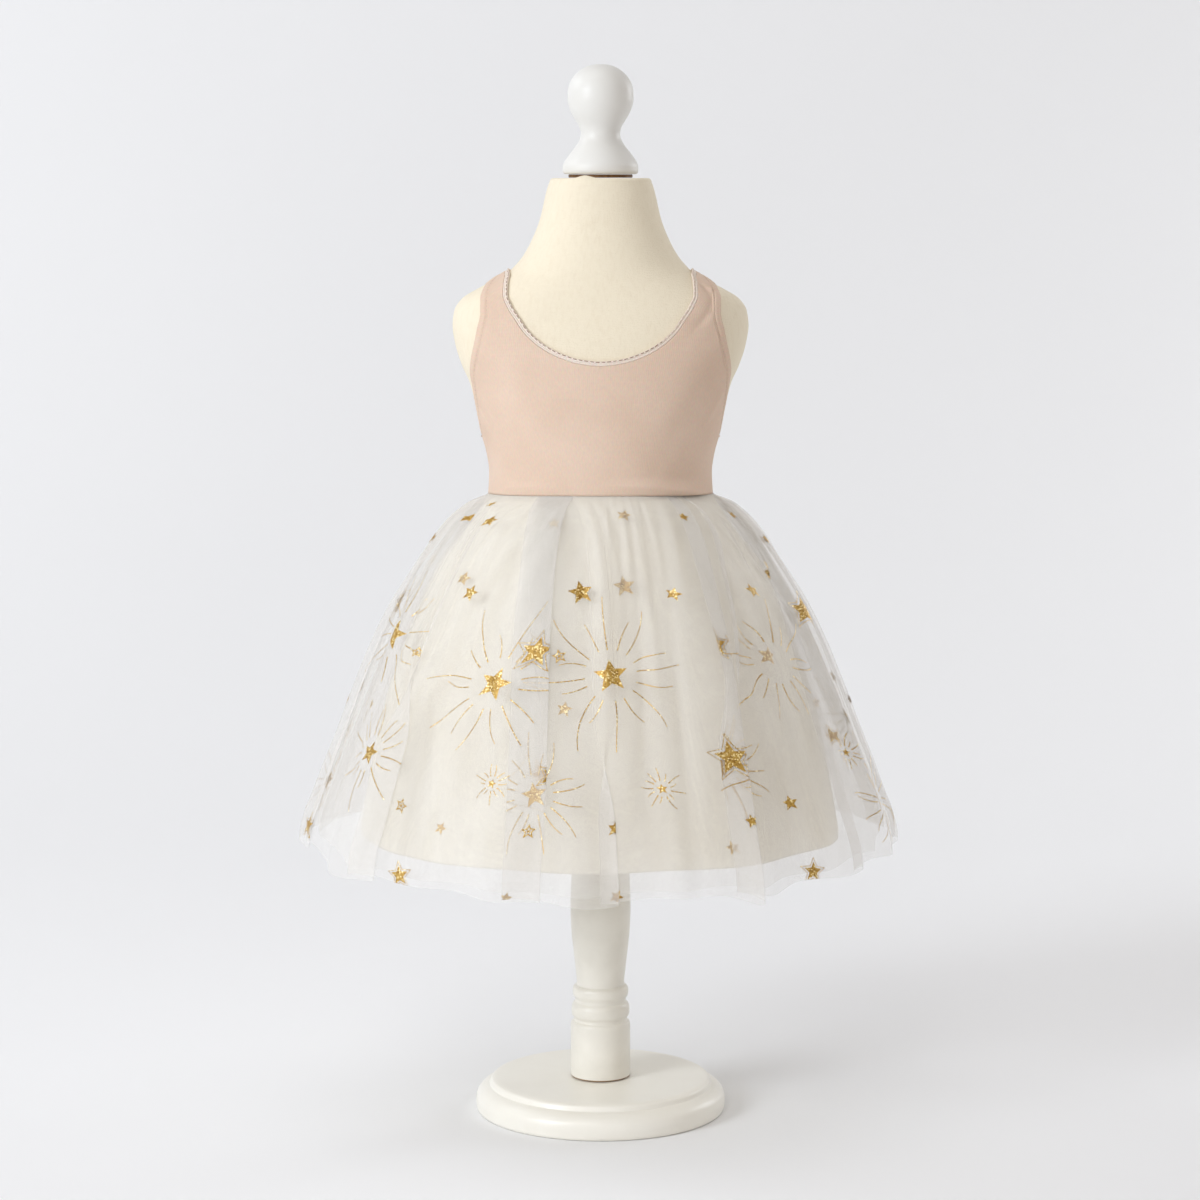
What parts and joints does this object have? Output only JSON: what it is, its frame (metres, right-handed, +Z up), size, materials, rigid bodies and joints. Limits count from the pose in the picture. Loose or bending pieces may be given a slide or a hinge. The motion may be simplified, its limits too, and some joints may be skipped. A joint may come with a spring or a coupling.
{
  "type": "toddler's dress on a limbless dress form",
  "caption": "Sleeveless dress with a knit bodice and a gathered tulle skirt over a satin lining, worn by a limbless child's dress form on a turned stand.",
  "frame": {"origin": "centre of the stand's underside, on the surface it stands on", "axes": "+Z up through the post and the neck, the dress's front towards -Y, the wearer's left towards +X"},
  "size_m": [0.4546, 0.4094, 0.8004],
  "materials": {
    "stand_paint": "cream satin paint on turned wood",
    "form_cloth": "matt cream plain weave, stretched over the form",
    "dowel_wood": "bare brown wood",
    "knob_paint": "white semi-gloss paint on turned wood",
    "bodice_knit": "matt blush jersey knit",
    "lining_satin": "cream satin with a soft sheen",
    "skirt_tulle": "sheer ivory tulle with gold glitter stars"
  },
  "bodies": {
    "root": {"stand_base": "stand_paint", "stand_post": "stand_paint", "form_torso": "form_cloth", "neck_dowel": "dowel_wood", "finial_knob": "knob_paint", "bodice_front": "bodice_knit", "bodice_back": "bodice_knit", "neck_binding": "bodice_knit", "armhole_band_right": "bodice_knit", "armhole_band_left": "bodice_knit", "skirt_lining_front": "lining_satin", "skirt_lining_back": "lining_satin", "skirt_tulle_inner_front": "skirt_tulle", "skirt_tulle_inner_back": "skirt_tulle", "skirt_tulle_outer_front": "skirt_tulle", "skirt_tulle_outer_back": "skirt_tulle"}
  },
  "joints": []
}
